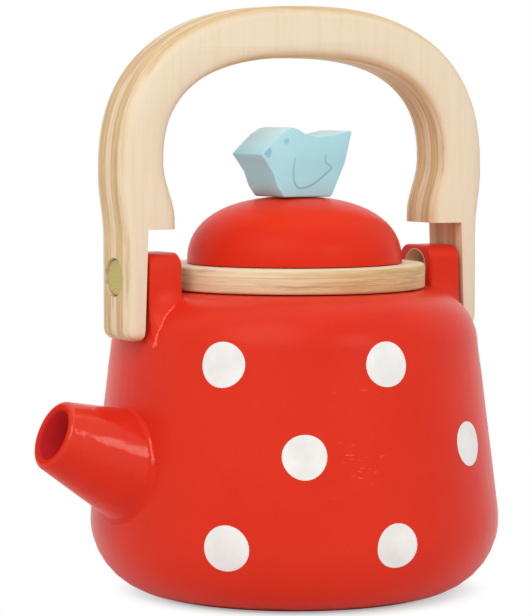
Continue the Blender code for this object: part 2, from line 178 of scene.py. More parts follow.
# Where the paint is dull, rubbed or darker: the spout's underside, the pot's foot up to two
# heights, the lower one darker, partly grime and partly painted shade, and a patch of marks on its
# front, which fades in over the first two values and out over the others
UNDERSIDE_DULLNESS = 0.55
FOOT_DULLNESS = 0.5
FOOT_DULL = 20.0 * MM
FOOT_GRIME_AND_SHADE = 1.6 * MM
SCUFF_TURNS = [math.radians(turn) for turn in (-112, -106, -97, -92)]
SCUFF_HEIGHTS = (34 * MM, 40 * MM, 62 * MM, 68 * MM)

# Plywood: the way the rim's fibres run, turned so that darker end grain shows on its right side,
# partly grain and partly painted shade, how dark the plies' edges are streaked, and how far the
# plies drift as a share of the thickness
RIM_GRAIN_AND_SHADE = math.radians(-65)
PLY_STREAKS = 0.4
PLY_WANDER = 0.09

# Growth rings of the pins: their middle as (y, z), their waviness and radians per metre
RINGS_AT = (-1.4 * MM, PIVOT_Z + 2.2 * MM)
RINGS_WAVE = 1.1 * MM
RINGS_PER_METRE = 5200.0

# Height of the painted light at the bird's base, a lighter blue against the shade near the dome
BASE_PAINTED_LIGHT_TALL = 13.0 * MM

# Shading of the solids: points this near are joined, and edges over this angle stay sharp
WELD = 0.002 * MM
SHARP_EDGE = math.radians(32)


def linear(colour):
    """An sRGB colour as the linear RGBA that shaders use."""
    channels = [((c / 255 + 0.055) / 1.055) ** 2.4 for c in colour]
    return (*channels, 1.0)


class Finish:
    """A material, with short ways to add nodes to it."""

    def __init__(self, name):
        self.material = bpy.data.materials.new(name)
        self.material.use_nodes = True
        self.tree = self.material.node_tree
        self.shader = self.tree.nodes["Principled BSDF"]
        places = self.node("ShaderNodeTexCoord", {}).outputs
        self.coords, self.facing = places["Object"], places["Normal"]
        self.x, self.y, self.z = self.split(self.coords)

    def feed(self, socket, value):
        """Link a socket to another, or set its value."""
        if isinstance(value, bpy.types.NodeSocket):
            self.tree.links.new(value, socket)
        else:
            socket.default_value = value

    def node(self, kind, inputs, **settings):
        """A new node with its settings and inputs."""
        node = self.tree.nodes.new(kind)
        for key, value in settings.items():
            setattr(node, key, value)
        for key, value in inputs.items():
            self.feed(node.inputs[key], value)
        return node

    def math(self, operation, a, b=0.0, c=0.0):
        """The result of a Math node."""
        node = self.node("ShaderNodeMath", {0: a, 1: b, 2: c}, operation=operation)
        return node.outputs[0]

    def split(self, vector):
        """The X, Y and Z of a vector."""
        return list(self.node("ShaderNodeSeparateXYZ", {0: vector}).outputs)

    def distance(self, a, b, at=(0.0, 0.0)):
        """Distance of two coordinates from a point."""
        a, b = self.math("SUBTRACT", a, at[0]), self.math("SUBTRACT", b, at[1])
        squares = self.math("ADD", self.math("MULTIPLY", a, a), self.math("MULTIPLY", b, b))
        return self.math("SQRT", squares)

    def stretched(self, scale):
        """Object coordinates scaled along each axis, for grain that runs one way."""
        inputs = {0: self.coords, 1: scale}
        return self.node("ShaderNodeVectorMath", inputs, operation="MULTIPLY").outputs[0]

    def turned(self, vector, angle):
        """A vector turned about Z."""
        inputs = {"Vector": vector, "Angle": angle}
        return self.node("ShaderNodeVectorRotate", inputs, rotation_type="Z_AXIS").outputs[0]

    def noise(self, vector, scale, detail=3.0, roughness=0.55):
        """Soft noise from 0 to 1."""
        inputs = {"Vector": vector, "Scale": scale, "Detail": detail, "Roughness": roughness}
        return self.node("ShaderNodeTexNoise", inputs).outputs[0]

    def grain(self, scale, stretch):
        """Fine fibre noise, long in the direction that has the small share."""
        return self.noise(self.stretched(stretch), scale, detail=6.0, roughness=0.62)

    def ramp(self, value, low, high, start=0.0, end=1.0):
        """Value mapped smoothly from low-high to start-end."""
        inputs = {"Value": value, 1: low, 2: high, 3: start, 4: end}
        node = self.node("ShaderNodeMapRange", inputs, interpolation_type="SMOOTHSTEP")
        return node.outputs[0]

    def within(self, distance, limit, fade):
        """1 inside a limit, 0 past it, between the two distances of fade."""
        return self.ramp(distance, limit + fade[0], limit + fade[1], 1.0, 0.0)

    def band(self, value, start, full, fall, end):
        """1 between full and fall, fading to 0 at start and end."""
        rising = self.ramp(value, start, full)
        return self.math("MULTIPLY", rising, self.ramp(value, fall, end, 1.0, 0.0))

    def mix(self, share, a, b):
        """Colour a with a share of colour b."""
        node = self.node("ShaderNodeMix", {0: share}, data_type="RGBA")
        for key, colour in ((6, a), (7, b)):
            is_socket = isinstance(colour, bpy.types.NodeSocket)
            self.feed(node.inputs[key], colour if is_socket else linear(colour))
        return node.outputs[2]

    def bump(self, height, strength, depth, normal=None):
        """The normal of a surface with this height, on top of another normal if one is given."""
        inputs = {"Height": height, "Strength": strength, "Distance": depth}
        if normal is not None:
            inputs["Normal"] = normal
        return self.node("ShaderNodeBump", inputs).outputs[0]

    def rough(self, noise, least, spread):
        """Roughness that a noise raises from least by up to spread."""
        return self.math("MULTIPLY_ADD", noise, spread, least)

    def done(self, colour, roughness, normal, specular=0.5):
        """The material with its shader fed."""
        self.feed(self.shader.inputs["Base Color"], colour)
        self.feed(self.shader.inputs["Roughness"], roughness)
        self.feed(self.shader.inputs["Normal"], normal)
        self.feed(self.shader.inputs["Specular IOR Level"], specular)
        return self.material


def sanded(finish, wood):
    """(colour, grain) of unpainted wood with upright grain, between the two colours wood."""
    grain = finish.grain(BARE_GRAIN, UPRIGHT)
    return finish.mix(finish.ramp(grain, 0.35, 0.7), *wood), grain


def red_paint(
    name, coat=(RED, RED_DEEP), satin=0.24, gloss=0.16, waves=0.0, wood=(BARE, BARE_DARK), **shares
):
    """Satin red paint on turned wood, with the colours coat.

    satin is the least roughness, gloss the specular level and waves the height of slow waves in
    the coat. shares may hold functions of the finish: bare for where the wood, of the colours
    wood, is unpainted, shaded for a darker coat in a recess, a painted shade, crown
    for a brighter coat on top, a painted light, scuffs for rubbed paint, grime for a
    darker foot, partly grime and partly painted shade, and dull for a coat without gloss.
    """
    finish = Finish(name)
    cloud = finish.noise(finish.coords, PAINT_CLOUD, detail=4.0)
    brush = finish.noise(finish.stretched(BRUSHED), PAINT_BRUSH, detail=5.0, roughness=0.6)
    lathe = finish.noise(finish.stretched(LATHED), PAINT_LATHE, detail=4.0, roughness=0.6)
    peel = finish.noise(finish.coords, PAINT_PEEL, detail=2.0)
    colour = finish.mix(finish.ramp(cloud, 0.3, 0.75), *coat)
    marks = finish.math("MULTIPLY", finish.ramp(brush, 0.58, 0.8), finish.ramp(lathe, 0.56, 0.75))
    colour = finish.mix(finish.math("MULTIPLY", marks, MARKS_SHARE), colour, RED_PALE_MARKS_AND_HIGHLIGHT)
    # The darker coat in a recess is painted shade and the brighter coat on top painted light;
    # scuffs are rubbed paint.
    for key, tint in (("shaded", RED_SHADED), ("crown", RED_PAINTED_LIGHT_TOP), ("scuffs", RED_RUBBED)):
        if key in shares:
            colour = finish.mix(shares[key](finish), colour, tint)
    roughness = finish.rough(brush, least=satin, spread=0.16)
    # A darker foot, partly grime and partly painted shade.
    if "grime" in shares:
        share = shares["grime"](finish)
        colour = finish.mix(share, colour, RED_FOOT_GRIME_AND_SHADE)
        roughness = finish.math("MULTIPLY_ADD", share, GRIME_ROUGHER, roughness)
    height = finish.math("MULTIPLY", peel, PEEL_SHARE)
    height = finish.math("MULTIPLY_ADD", lathe, LATHE_SHARE, height)
    height = finish.math("MULTIPLY_ADD", brush, BRUSH_SHARE, height)
    normal = finish.bump(height, 0.2, PAINT_DEPTH)
    if waves:
        wave = finish.noise(finish.coords, PAINT_WAVE, detail=2.0)
        normal = finish.bump(wave, 1.0, waves, normal)
    if "bare" in shares:
        share = shares["bare"](finish)
        colour = finish.mix(share, colour, sanded(finish, wood)[0])
        roughness = finish.math("MULTIPLY_ADD", share, BARE_ROUGHER, roughness)
    if "dull" in shares:
        share = shares["dull"](finish)
        roughness = finish.math("MULTIPLY_ADD", share, DULL_ROUGHER, roughness)
        gloss = finish.math("MULTIPLY_ADD", share, -gloss, gloss)
    finish.shader.inputs["Specular Tint"].default_value = PAINT_GLOSS_TINT
    return finish.done(colour, roughness, normal, specular=gloss)


def inside_pot(finish):
    """1 inside the pot's cavity."""
    near = finish.within(finish.distance(finish.x, finish.y), CAVITY_RADIUS, CAVITY_FADE)
    below = finish.within(finish.z, CAVITY_FLOOR, CAVITY_FLOOR_FADE)
    return finish.math("MULTIPLY", near, finish.math("SUBTRACT", 1.0, below))


def inside_bore(finish):
    """1 on the wall of a lug's pin bore."""
    radius = finish.distance(finish.y, finish.z, (0.0, PIVOT_Z))
    return finish.within(radius, PIN_BORE, PIN_BORE_FADE)


def upward(finish):
    """How far the surface faces up, from -1 to 1."""
    return finish.split(finish.facing)[2]


def from_spout_axis(finish):
    """Distance from the spout's axis."""
    rise = finish.math("SUBTRACT", finish.z, SPOUT_MOUTH.z)
    reach = finish.math("SUBTRACT", finish.x, SPOUT_MOUTH.x)
    across = finish.math("MULTIPLY", rise, math.cos(SPOUT_TILT))
    across = finish.math("MULTIPLY_ADD", reach, math.sin(SPOUT_TILT), across)
    return finish.distance(finish.y, across)


def inside_spout(finish):
    """1 on the wall and floor of the spout's bore."""
    return finish.within(from_spout_axis(finish), SPOUT_BORE, SPOUT_BORE_FADE)


def spout_dull(finish):
    """How dull the spout is: wholly in its bore and on its end face, partly on its underside."""
    end = finish.within(from_spout_axis(finish), SPOUT_BORE, SPOUT_END_FADE)
    underside = finish.ramp(upward(finish), 0.15, -0.3, 0.0, UNDERSIDE_DULLNESS)
    return finish.math("MAXIMUM", end, underside)


def dome_crown(finish):
    """1 on the upper side of the dome, where a brighter coat is a painted light."""
    return finish.ramp(upward(finish), 0.5, 0.9)


def foot_grime(finish):
    """1 at the pot's foot, darker there: partly grime where it rubs on the table, partly painted
    shade where it meets the floor.
    """
    cloud = finish.noise(finish.coords, GRIME_AND_SHADE_CLOUD)
    height = finish.math("MULTIPLY_ADD", cloud, -FOOT_GRIME_AND_SHADE, finish.z)
    return finish.ramp(height, -0.5 * FOOT_GRIME_AND_SHADE, FOOT_GRIME_AND_SHADE, 1.0, 0.0)


def foot_dull(finish):
    """How dull the paint is, most at the pot's foot and less above it."""
    return finish.ramp(finish.z, 0.0, FOOT_DULL, FOOT_DULLNESS, 0.0)


def lathe_scuffs(finish):
    """Short level marks rubbed into the paint on the pot's front, right of the middle."""
    turn = finish.math("ARCTAN2", finish.y, finish.x)
    zone = finish.band(turn, *SCUFF_TURNS)
    zone = finish.math("MULTIPLY", zone, finish.band(finish.z, *SCUFF_HEIGHTS))
    dashes = finish.noise(finish.stretched(DASHED), SCUFF_DASH, detail=1.0)
    return finish.math("MULTIPLY", zone, finish.ramp(dashes, 0.70, 0.76, 0.0, 0.6))


def plywood(name, layers, low, high, plies, grains, contrast, heading=0.0):
    """Plywood with its plies stacked along the axis layers from low to high.

    grains holds the two axes that the plies' fibres run along by turns. A ply is pale along its
    fibres and brown where it is cut across them. Axes are 0 to 2 for X to Z, and heading turns
    the fibres about Z.
    """
    finish = Finish(name)
    place = (finish.x, finish.y, finish.z)[layers]
    finish.coords = finish.turned(finish.coords, -heading)
    facing = finish.split(finish.turned(finish.facing, -heading))
    thickness = high[layers] - low[layers]
    drift = finish.math("SUBTRACT", finish.noise(finish.coords, PLY_DRIFT), 0.5)
    depth = finish.math("SUBTRACT", place, low[layers])
    depth = finish.math("MULTIPLY_ADD", drift, PLY_WANDER * thickness, depth)
    count = finish.math("MULTIPLY", depth, plies / thickness)
    count = finish.math("MINIMUM", finish.math("MAXIMUM", count, 0.1), plies - 0.1)
    part = finish.math("FRACT", count)
    odd = finish.math("MODULO", finish.math("FLOOR", count), 2.0)
    strata = [STRATA_RUN] * 3
    strata[layers] = 1.0
    stripe = finish.grain(PLY_STRIPE, strata)
    flat = finish.ramp(finish.math("ABSOLUTE", facing[layers]), 0.5, 0.95)
    sides = []
    for axis in grains:
        stretch = [1.0] * 3
        stretch[axis] = FIBRE_RUN
        fibre = finish.grain(PLY_FIBRE, stretch)
        figure = finish.noise(finish.stretched(stretch), PLY_FIGURE, detail=4.0)
        long = finish.mix(finish.ramp(stripe, 0.38, 0.70, 0.0, 0.8), PLY_LONG, PLY_LONG_DARK)
        face = finish.mix(finish.ramp(fibre, 0.40, 0.72, 0.0, 0.42), PLY_FACE, PLY_FACE_DARK)
        face = finish.mix(finish.ramp(figure, 0.48, 0.72, 0.0, 0.25), face, PLY_FACE_DARK)
        along = finish.mix(flat, long, face)
        across = finish.mix(finish.ramp(stripe, 0.32, 0.68), PLY_END, PLY_END_DARK)
        cut = finish.math("ABSOLUTE", facing[axis])
        sides.append(finish.mix(finish.ramp(cut, 0.25, 0.95, 0.0, contrast), along, across))
    colour = finish.mix(odd, *sides)
    seam = finish.math("MINIMUM", part, finish.math("SUBTRACT", 1.0, part))
    line = finish.ramp(seam, 0.01, 0.09, 0.45 * contrast, 0.0)
    colour = finish.mix(line, colour, GLUE_LINE)
    streak = finish.noise(finish.stretched(strata), PLY_STREAK, detail=4.0, roughness=0.65)
    streak = finish.ramp(streak, 0.53, 0.68, 0.0, PLY_STREAKS)
    streak = finish.math("MULTIPLY", streak, finish.math("SUBTRACT", 1.0, flat))
    colour = finish.mix(streak, colour, GLUE_LINE)
    roughness = finish.rough(fibre, least=0.45, spread=0.2)
    height = finish.math("MULTIPLY_ADD", line, -0.6, fibre)
    return finish.done(colour, roughness, finish.bump(height, 0.18, WOOD_DEPTH), specular=0.35)


def dowel_wood(name):
    """A dowel along X: growth rings and pores on its ends, long grain on its side."""
    finish = Finish(name)
    radius = finish.distance(finish.y, finish.z, RINGS_AT)
    cloud = finish.noise(finish.coords, RING_CLOUD)
    radius = finish.math("MULTIPLY_ADD", cloud, RINGS_WAVE, radius)
    rings = finish.math("SINE", finish.math("MULTIPLY", radius, RINGS_PER_METRE))
    pores = finish.noise(finish.stretched(DOWEL_RUN), PORE_SPECKS, detail=2.0)
    colour = finish.mix(finish.ramp(rings, -0.4, 1.0, 0.0, 0.18), DOWEL, DOWEL_DARK)
    colour = finish.mix(finish.ramp(pores, 0.6, 0.75, 0.0, 0.6), colour, DOWEL_PORE)
    roughness = finish.rough(pores, least=0.5, spread=0.2)
    return finish.done(colour, roughness, finish.bump(pores, 0.3, WOOD_DEPTH))


def bare_wood(name):
    """Sanded, unpainted wood with upright grain."""
    finish = Finish(name)
    colour, grain = sanded(finish, (BARE, BARE_DARK))
    roughness = finish.rough(grain, least=0.55, spread=0.15)
    return finish.done(colour, roughness, finish.bump(grain, 0.25, WOOD_DEPTH))


def blue_paint(name):
    """Matt pale blue paint with the wood's grain just showing, worn along the edges, and with
    painted light that makes its top, front and base lighter.
    """
    finish = Finish(name)
    cloud = finish.noise(finish.coords, SKY_CLOUD)
    grain = finish.noise(finish.stretched(BIRD_RUN), SKY_GRAIN, detail=5.0)
    colour = finish.mix(finish.ramp(cloud, 0.3, 0.7), SKY, SKY_LIGHT)
    colour = finish.mix(finish.ramp(grain, 0.6, 0.8, 0.0, 0.3), colour, SKY_DEEP)
    facing_x, facing_y, facing_z = finish.split(finish.facing)
    edge = finish.band(finish.math("ABSOLUTE", facing_y), 0.12, 0.45, 0.75, 0.98)
    colour = finish.mix(finish.math("MULTIPLY", edge, 0.6), colour, SKY_WORN_AND_PAINTED_LIGHT)
    # The upper side is lighter, a painted light.
    colour = finish.mix(finish.ramp(facing_z, 0.3, 0.8, 0.0, 0.9), colour, SKY_WORN_AND_PAINTED_LIGHT)
    # The front is cooler and lighter, a painted light against the shade and red bounce there.
    colour = finish.mix(finish.ramp(facing_x, -0.4, -0.9, 0.0, 0.7), colour, SKY_FRONT_PAINTED_LIGHT)
    # The base is lighter, a painted light against the shade near the dome.
    low = finish.ramp(finish.z, BIRD_LOW.z, BIRD_LOW.z + BASE_PAINTED_LIGHT_TALL, 0.9, 0.0)
    colour = finish.mix(low, colour, SKY_BASE_PAINTED_LIGHT)
    roughness = finish.rough(grain, least=0.42, spread=0.15)
    return finish.done(colour, roughness, finish.bump(grain, 0.15, WOOD_DEPTH))


def print_ink(name, colour, scale):
    """Flat printed ink or thin white paint with slight unevenness."""
    finish = Finish(name)
    cloud = finish.noise(finish.coords, scale, detail=4.0)
    darker = tuple(c * 0.95 for c in colour)
    tint = finish.mix(finish.ramp(cloud, 0.3, 0.7), colour, darker)
    roughness = finish.rough(cloud, least=0.35, spread=0.15)
    return finish.done(tint, roughness, finish.bump(cloud, 0.1, INK_DEPTH))


def soft_shading():
    """A node modifier that joins the solid's points and shades it smooth up to sharp edges."""
    group = bpy.data.node_groups.new("soft_shading", "GeometryNodeTree")
    group.interface.new_socket("Geometry", in_out="INPUT", socket_type="NodeSocketGeometry")
    group.interface.new_socket("Geometry", in_out="OUTPUT", socket_type="NodeSocketGeometry")
    nodes, links = group.nodes, group.links
    start = nodes.new("NodeGroupInput")
    strip = nodes.new("GeometryNodeRemoveAttribute")
    strip.inputs["Name"].default_value = "custom_normal"
    weld = nodes.new("GeometryNodeMergeByDistance")
    weld.inputs["Distance"].default_value = WELD
    faces = nodes.new("GeometryNodeSetShadeSmooth")
    edges = nodes.new("GeometryNodeSetShadeSmooth")
    edges.domain = "EDGE"
    edges.inputs["Shade Smooth"].default_value = False
    angle = nodes.new("GeometryNodeInputMeshEdgeAngle")
    sharp = nodes.new("FunctionNodeCompare")
    sharp.operation = "GREATER_THAN"
    sharp.inputs[1].default_value = SHARP_EDGE
    end = nodes.new("NodeGroupOutput")
    links.new(start.outputs[0], strip.inputs[0])
    links.new(strip.outputs[0], weld.inputs[0])
    links.new(weld.outputs[0], faces.inputs[0])
    links.new(faces.outputs[0], edges.inputs[0])
    links.new(angle.outputs[0], sharp.inputs[0])
    links.new(sharp.outputs[0], edges.inputs["Selection"])
    links.new(edges.outputs[0], end.inputs[0])
    return group


def dress_nodes():
    """Give every solid its finish and smooth shading."""
    finishes = {
        # The pot's foot is darker, partly grime and partly painted shade.
        "body_shell": red_paint(
            "pot_paint", bare=inside_pot, scuffs=lathe_scuffs, grime=foot_grime, dull=foot_dull
        ),
        "spout": red_paint(
            "spout_paint",
            satin=0.05,
            gloss=0.3,
            waves=0.3 * MM,
            # The spout's bore gets a darker coat, a painted shade.
            shaded=inside_spout,
            dull=spout_dull,
        ),
        # The lugs' pin bores get paler bare wood, a painted light.
        "front_lug": red_paint("front_lug_paint", bare=inside_bore, wood=(BARE_PAINTED_LIGHT, BARE_DARK_PAINTED_LIGHT)),
        "rear_lug": red_paint("rear_lug_paint", bare=inside_bore, wood=(BARE_PAINTED_LIGHT, BARE_DARK_PAINTED_LIGHT)),
        # The dome's upper side gets a brighter coat, a painted light.
        "lid_dome": red_paint("dome_paint", gloss=0.07, crown=dome_crown),
        "handle": plywood("handle_plywood", 1, HANDLE_LOW, HANDLE_HIGH, 5, (2, 0), 0.75),
        # The rim's fibres are turned so its right side shows darker end grain: partly grain,
        # partly painted shade.
        "lid_rim": plywood("rim_plywood", 2, RIM_LOW, RIM_HIGH, 3, (0, 0), 0.85, RIM_GRAIN_AND_SHADE),
        "front_pivot_pin": dowel_wood("front_pin_wood"),
        "rear_pivot_pin": dowel_wood("rear_pin_wood"),
        "lid_plug": bare_wood("plug_wood"),
        "lid_dowel": bare_wood("dowel_wood"),
        "bird_knob": blue_paint("bird_paint"),
    }
    shading = soft_shading()
    for name, material in finishes.items():
        obj = NODES[name]
        obj.data.materials.clear()
        obj.data.materials.append(material)
        obj.modifiers.new("soft_shading", "NODES").node_group = shading


def grid_mesh(name, rows, material, wrap):
    """A smooth mesh through rows of points; wrap joins each row's ends."""
    mesh = bpy.data.meshes.new(name)
    width = len(rows[0])
    points = [tuple(p) for row in rows for p in row]
    faces = []
    for r in range(len(rows) - 1):
        for c in range(width if wrap else width - 1):
            d = (c + 1) % width
            below, above = r * width, (r + 1) * width
            faces.append((below + c, below + d, above + d, above + c))
    mesh.from_pydata(points, [], faces)
    mesh.shade_smooth()
    mesh.materials.append(material)
    obj = bpy.data.objects.new(name, mesh)
    bpy.context.scene.collection.objects.link(obj)
    return obj


def smooth_run(points, per_span=8):
    """A Catmull-Rom curve through points."""
    padded = [points[0], *points, points[-1]]
    run = []
    for a, b, c, d in zip(padded, padded[1:], padded[2:], padded[3:]):
        for i in range(per_span):
            t = i / per_span
            point = []
            for p, q, r, s in zip(a, b, c, d):
                square = 2 * p - 5 * q + 4 * r - s
                cube = 3 * q - p - 3 * r + s
                point.append(0.5 * (2 * q + (r - p) * t + square * t**2 + cube * t**3))
            run.append(tuple(point))
    return run + [points[-1]]


def run_lengths(points):
    """The length along a line of points up to each of them."""
    runs = [0.0]
    for before, after in zip(points, points[1:]):
        runs.append(runs[-1] + math.dist(before, after))
    return runs


def arc(middle, radius, start, end, steps=160):
    """Points on an arc about middle."""
    turns = [start + (end - start) * i / steps for i in range(steps + 1)]
    x, z = middle
    return [(x + radius * math.cos(turn), z + radius * math.sin(turn)) for turn in turns]


def pot_profile():
    """The pot's side from its flat base upwards, as (radius, height) points about 0.2 mm apart."""
    shoulder_z = BODY_TOP - SHOULDER
    run_x, run_z = TOP_FLAT - BASE_FLAT, shoulder_z - BASE_CORNER
    lean = math.atan2(run_z, run_x)
    lean -= math.acos((BASE_CORNER - SHOULDER) / math.hypot(run_x, run_z))
    quarter = math.pi / 2
    corner = arc((BASE_FLAT, BASE_CORNER), BASE_CORNER, -quarter, lean)
    return corner + arc((TOP_FLAT, shoulder_z), SHOULDER, lean, quarter)


PROFILE = pot_profile()
PROFILE_RUN = run_lengths(PROFILE)


def on_profile(run):
    """(radius, height, radial and upward share of the way out) this far along the pot's side."""
    i = 1
    while i < len(PROFILE_RUN) - 1 and PROFILE_RUN[i] < run:
        i += 1
    span = PROFILE_RUN[i] - PROFILE_RUN[i - 1]
    t = (run - PROFILE_RUN[i - 1]) / span
    (r0, z0), (r1, z1) = PROFILE[i - 1], PROFILE[i]
    return r0 + (r1 - r0) * t, z0 + (z1 - z0) * t, (z1 - z0) / span, (r0 - r1) / span


def run_at_height(height):
    """How far along the pot's side a height is reached."""
    for i in range(1, len(PROFILE)):
        low, high = PROFILE[i - 1][1], PROFILE[i][1]
        if low <= height <= high:
            share = (height - low) / max(high - low, TINY)
            return PROFILE_RUN[i - 1] + (PROFILE_RUN[i] - PROFILE_RUN[i - 1]) * share
    return PROFILE_RUN[-1]


def pot_point(angle, run, lift):
    """The point at this angle round the pot and length along its side, lifted off it."""
    radius, height, out_r, out_z = on_profile(run)
    radius += out_r * lift
    return Vector((radius * math.cos(angle), radius * math.sin(angle), height + out_z * lift))


def pot_radius_at(height):
    """The pot's radius at a height."""
    for (r0, z0), (r1, z1) in zip(PROFILE, PROFILE[1:]):
        if z0 <= height <= z1:
            return r0 + (r1 - r0) * (height - z0) / max(z1 - z0, TINY)
    return BASE_FLAT


def shoulder_height(x, y):
    """Height of the pot's shoulder under a point."""
    radius = math.hypot(x, y)
    for (r0, z0), (r1, z1) in zip(reversed(PROFILE[1:]), reversed(PROFILE[:-1])):
        if r0 <= radius <= r1:
            return z0 + (z1 - z0) * (radius - r0) / max(r1 - r0, TINY)
    return BODY_TOP


# White dots: rings of each as (share of the radius, lift off the pot), and a slight wobble
DOT_RADIUS = 6.32 * MM
DOT_LIFT = 0.05 * MM
DOT_RINGS = (
    (0.02, DOT_LIFT),
    (0.35, DOT_LIFT),
    (0.65, DOT_LIFT),
    (0.88, DOT_LIFT),
    (0.975, DOT_LIFT),
    (1.0, 0.02 * MM),
    (1.005, -0.25 * MM),
)
DOT_SPOKES = 40
DOT_WOBBLE = 0.012
DOT_LOBES = 3
DOT_PHASE = 1.7

# Each dot's angle round the pot in degrees, height in millimetres and share of the radius
DOTS = (
    (-142.4, 70.2, 1.01),
    (-92.7, 70.1, 1.0),
    (-32.0, 70.0, 1.0),
    (28.0, 70.0, 0.99),
    (88.0, 70.0, 1.0),
    (148.0, 70.0, 1.01),
    (-118.1, 45.4, 0.99),
    (-60.8, 46.0, 1.0),
    (-3.0, 45.8, 1.0),
    (55.0, 45.8, 1.01),
    (113.0, 45.8, 0.99),
    (-139.3, 20.1, 1.035),
    (-92.3, 20.3, 1.0),
    (-32.0, 20.4, 1.01),
    (28.0, 20.4, 1.0),
    (88.0, 20.4, 0.99),
    (148.0, 20.4, 1.02),
)


def make_dots():
    """Painted dots that follow the pot's side, each with a thin edge that runs into the paint."""
    material = print_ink("dot_paint", DOT_WHITE, DOT_CLOUD)
    for number, (angle_deg, height_mm, size) in enumerate(DOTS, 1):
        middle = run_at_height(height_mm * MM)
        turn = math.radians(angle_deg)
        rows = []
        for share, lift in DOT_RINGS:
            row = []
            for s in range(DOT_SPOKES):
                phase = 2 * math.pi * s / DOT_SPOKES
                wobble = 1 + DOT_WOBBLE * math.sin(DOT_LOBES * phase + number * DOT_PHASE)
                reach = DOT_RADIUS * size * share * wobble
                along = reach * math.sin(phase)
                radius = on_profile(middle + along)[0]
                across = reach * math.cos(phase) / radius
                row.append(pot_point(turn + across, middle + along, lift))
            rows.append(row)
        dot = grid_mesh(f"dot_{number:02d}", rows, material, wrap=True)
        close_middle(dot, DOT_SPOKES)
        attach(dot, "kettle")


def close_middle(obj, spokes):
    """Fill the small hole in the middle of a disc's first ring."""
    mesh = obj.data
    points = [v.co[:] for v in mesh.vertices]
    faces = [tuple(p.vertices) for p in mesh.polygons] + [tuple(reversed(range(spokes)))]
    mesh.clear_geometry()
    mesh.from_pydata(points, [], faces)
    mesh.shade_smooth()


# Painted filler at the lugs' feet: its width on the shoulder at the lug's outer and inner end,
# its height over its width, and the steps of its mesh
FLARE = 2.9 * MM
FLARE_INSIDE = 0.25 * MM
FLARE_NARROWS = 0.5  # power of the share along the lug
FLARE_TUCK = 0.7 * MM  # narrower at the outer end
FLARE_TUCK_FROM = 0.85  # share along the lug
FLARE_OUTSIDE = 0.3 * MM
FLARE_OUTSIDE_RISE = 4.4 * MM
FLARE_TALL = 3.6
FLARE_CURVE = 2.2  # power of its hollow
FLARE_SINK = 0.03 * MM  # into the lug
FLARE_EDGE_SINK = 0.12 * MM  # into the shoulder, at the last ring
FLARE_EDGE = 20  # power that keeps that sink to the last ring
FLARE_RINGS = 14
SIDE_STEPS = 33
CORNER_STEPS = 6
END_STEPS = 8


def lug_path(side):
    """Points round a lug's foot, with the way out from it and the flare's width and height."""
    half, inner, outer = LUG_HIGH.y, LUG_LOW.x, LUG_HIGH.x
    thin = (FLARE_INSIDE, FLARE_TALL * FLARE_INSIDE)
    near = []
    for i in range(SIDE_STEPS):
        share = 1 - i / (SIDE_STEPS - 1)
        width = FLARE_INSIDE + (FLARE - FLARE_INSIDE) * share**FLARE_NARROWS
        tuck = max(0.0, (share - FLARE_TUCK_FROM) / (1 - FLARE_TUCK_FROM))
        width -= FLARE_TUCK * tuck**2
        near.append((inner + (outer - inner) * share, -half, 0.0, -1.0, width, FLARE_TALL * width))
    for i in range(1, CORNER_STEPS):
        turn = math.pi / 2 * i / CORNER_STEPS
        near.append((inner, -half, -math.sin(turn), -math.cos(turn), *thin))
    far = [(x, -y, dx, -dy, w, h) for x, y, dx, dy, w, h in reversed(near)]
    across = [half * (2 * i / END_STEPS - 1) for i in range(END_STEPS + 1)]
    inside = [(inner, y, -1.0, 0.0, *thin) for y in across]
    outside = [(outer, -y, 1.0, 0.0, FLARE_OUTSIDE, FLARE_OUTSIDE_RISE) for y in across]
    loop = near + inside + far + outside
    return [(side * x, y, side * dx, dy, w, h) for x, y, dx, dy, w, h in loop + loop[:1]]


def make_lug_flares(material):
    """The painted filler that runs from each lug's foot out on to the shoulder."""
    for end, side in (("front", -1), ("rear", 1)):
        rows = []
        for x, y, out_x, out_y, width, height in lug_path(side):
            row = []
            for k in range(FLARE_RINGS + 1):
                share = k / FLARE_RINGS
                out = width * share**FLARE_CURVE - FLARE_SINK * (1 - share)
                rise = height * (1 - share) - FLARE_EDGE_SINK * share**FLARE_EDGE
                px, py = x + out_x * out, y + out_y * out
                row.append(Vector((px, py, shoulder_height(px, py) + rise)))
            rows.append(row if side > 0 else row[::-1])
        flare = grid_mesh(end + "_lug_flare", rows, material, wrap=False)
        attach(flare, "kettle")


# Beads of paint: half widths at the near seams, the far seams and the spout's lip
BEAD = 0.58 * MM
FAR_BEAD = 0.4 * MM
LIP_BEAD = 0.42 * MM
BEAD_TALL = 0.8  # height over half width
BEAD_EVEN = 0.8  # share of the width without ripples
BEAD_RIPPLES = ((0.2, 0.45 * MM, 0), (0.15, 0.21 * MM, 1))  # share, length per radian, phase
BEAD_WANDER = 0.2 * MM
BEAD_WANDER_LONG = 0.9 * MM  # per radian
BEAD_END = 1.2 * MM  # rounded over this length
BEAD_SIDES = 8
BEAD_WRAP = 1.3  # of a half turn, so that its edges are buried
DROP_AT = 1.3 * MM
DROP_LONG = 0.9 * MM
DROP = 0.8  # added to the bead's width there
BEAD_STEPS = 23  # of the side of a lug's path
FAR_BEAD_START = 6
SLOPE_STEP = 0.05 * MM


